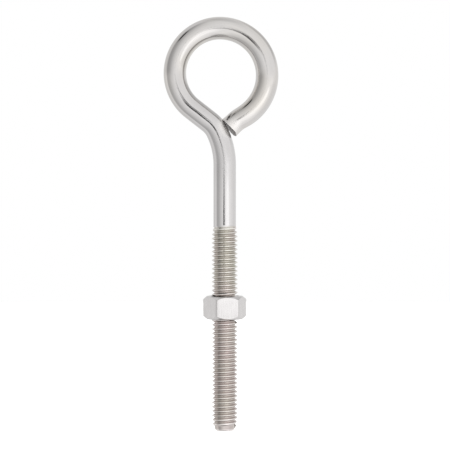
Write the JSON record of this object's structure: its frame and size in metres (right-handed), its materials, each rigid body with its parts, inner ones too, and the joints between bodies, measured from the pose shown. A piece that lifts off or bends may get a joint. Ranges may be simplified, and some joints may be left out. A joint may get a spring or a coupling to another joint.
{
  "type": "eye bolt",
  "caption": "Long rod bent into an open round eye at one end and threaded at the other, with a chamfered hex nut that screws along the thread.",
  "frame": {"origin": "centre of the rod's flat end face, at the threaded end", "axes": "+Z along the rod's axis from the threaded end towards the eye; the eye lies in the XZ plane and its cut end is on the +X side; +Y goes through the eye"},
  "size_m": [0.0423, 0.0152, 0.1524],
  "materials": {
    "drawn_rod": "drawn and polished stainless steel, duller in the rolled thread",
    "bright_nut": "bright satin stainless steel"
  },
  "bodies": {
    "rod": {"eye_rod": "drawn_rod"},
    "nut_slide": {"nut_bearing_face": "bright_nut"},
    "nut": {"hex_nut": "bright_nut"}
  },
  "joints": [
    {"name": "nut_travel", "type": "slide", "parent": "rod", "child": "nut_slide", "axis": [0, 0, 1], "range_m": [-0.03969, 0.02381]},
    {"name": "nut_turn", "type": "hinge", "parent": "nut_slide", "child": "nut", "pos_m": [0, 0, 0.0453], "axis": [0, 0, 1], "range_deg": [-9000, 5400]}
  ],
  "couplings": [
    {"joint": "nut_travel", "follows": "nut_turn", "m_per_rad": 0.00025266}
  ]
}
